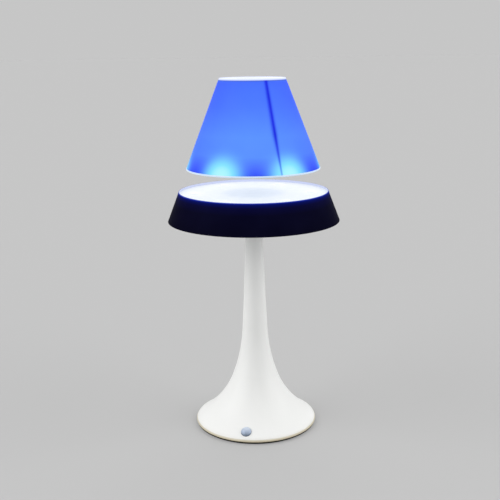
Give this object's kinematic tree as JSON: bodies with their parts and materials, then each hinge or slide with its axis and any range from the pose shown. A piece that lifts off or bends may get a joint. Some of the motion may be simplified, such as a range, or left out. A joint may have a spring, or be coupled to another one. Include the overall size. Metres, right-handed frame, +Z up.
{
  "type": "levitating table lamp",
  "caption": "Table lamp with a white trumpet stem, a dark conical head and a blue conical shade that floats above it on a magnet and spins.",
  "frame": {"origin": "centre of the underside of the foot ring, on the table", "axes": "+Z up along the stem, -Y to the front, where the push button is, +X to the right seen from the front"},
  "size_m": [0.2126, 0.2126, 0.44],
  "materials": {
    "foot_rubber": "matt black rubber",
    "plate_black": "fine-textured black plastic",
    "screw_steel": "zinc-plated steel",
    "ballast_iron": "grey cast iron",
    "stem_white": "glossy white plastic",
    "pipe_steel": "zinc-plated threaded steel tube",
    "switch_black": "black moulded plastic",
    "board_green": "green circuit board",
    "board_white": "white solder mask",
    "pin_metal": "nickel plate",
    "standoff_brass": "turned brass",
    "component_mix": "moulded electronic parts",
    "lead_jacket": "soft black cable jacket",
    "housing_white": "satin white plastic",
    "film_navy": "translucent dark blue film, unlit",
    "plate_white": "white diffusing plastic",
    "magnet_nickel": "nickel-plated magnet",
    "clamp_aluminium": "cast aluminium",
    "core_iron": "soft iron",
    "bobbin_nylon": "natural nylon",
    "winding_copper": "enamelled copper wire",
    "light_chip": "light-emitting chip",
    "lens_clear": "clear moulded acrylic",
    "film_blue": "translucent blue film",
    "liner_white": "white styrene liner",
    "hoop_white": "white plastic",
    "button_silver": "silver-plated plastic"
  },
  "bodies": {
    "stand": {"foot_ring": "foot_rubber", "base_plate": "plate_black", "base_screws": "screw_steel", "ballast_disc": "ballast_iron", "stem_shell": "stem_white", "lamp_pipe": "pipe_steel", "chassis_plate": "pipe_steel", "pipe_nuts": "screw_steel", "pipe_washers": "screw_steel", "neck_bush": "plate_black", "switch_housing": "switch_black", "switch_board": "board_green", "switch_screws": "screw_steel", "jack_body": "switch_black", "jack_nut": "screw_steel", "jack_pin": "pin_metal", "driver_standoffs": "standoff_brass", "driver_board": "board_green", "driver_screws": "screw_steel", "driver_components": "component_mix", "jack_lead": "lead_jacket", "switch_lead": "lead_jacket", "housing_shell": "housing_white", "lower_shade": "film_navy", "top_plate": "plate_white", "head_screws": "screw_steel", "ring_magnet": "magnet_nickel", "magnet_clamp": "clamp_aluminium", "clamp_screws": "screw_steel", "coil_spacers": "housing_white", "coil_board": "board_green", "coil_cores": "core_iron", "coil_bobbins": "bobbin_nylon", "coil_windings": "winding_copper", "coil_screws": "screw_steel", "sensor_board": "board_green", "hall_sensors": "switch_black", "sensor_screws": "screw_steel", "light_board": "board_white", "light_screws": "screw_steel", "lights": "light_chip", "light_lenses": "lens_clear", "down_lights": "light_chip", "down_light_guides": "lens_clear", "coil_plugs": "component_mix", "light_plug": "component_mix", "stem_cable": "lead_jacket", "light_lead": "lead_jacket"},
    "levitator": {"float_magnet": "magnet_nickel", "magnet_keeper": "pipe_steel"},
    "shade": {"bottom_hoop": "hoop_white", "shade_spider": "hoop_white", "hub_cap": "hoop_white", "cap_screws": "screw_steel", "upper_shade": "film_blue", "shade_liner": "liner_white", "top_hoop": "hoop_white"},
    "button": {"button_cap": "button_silver", "switch_plunger": "switch_black"}
  },
  "joints": [
    {"name": "shade_float", "type": "slide", "parent": "stand", "child": "levitator", "axis": [0, 0, 1], "range_m": [-0.0205, 0.06], "stiffness_N_per_m": 60, "springref_m": 0.02475},
    {"name": "shade_spin", "type": "hinge", "parent": "levitator", "child": "shade", "pos_m": [0, 0, 0.33], "axis": [0, 0, 1], "continuous": true},
    {"name": "button_press", "type": "slide", "parent": "stand", "child": "button", "axis": [0.1077, 0.581, -0.8068], "range_m": [0, 0.0015], "stiffness_N_per_m": 400}
  ]
}
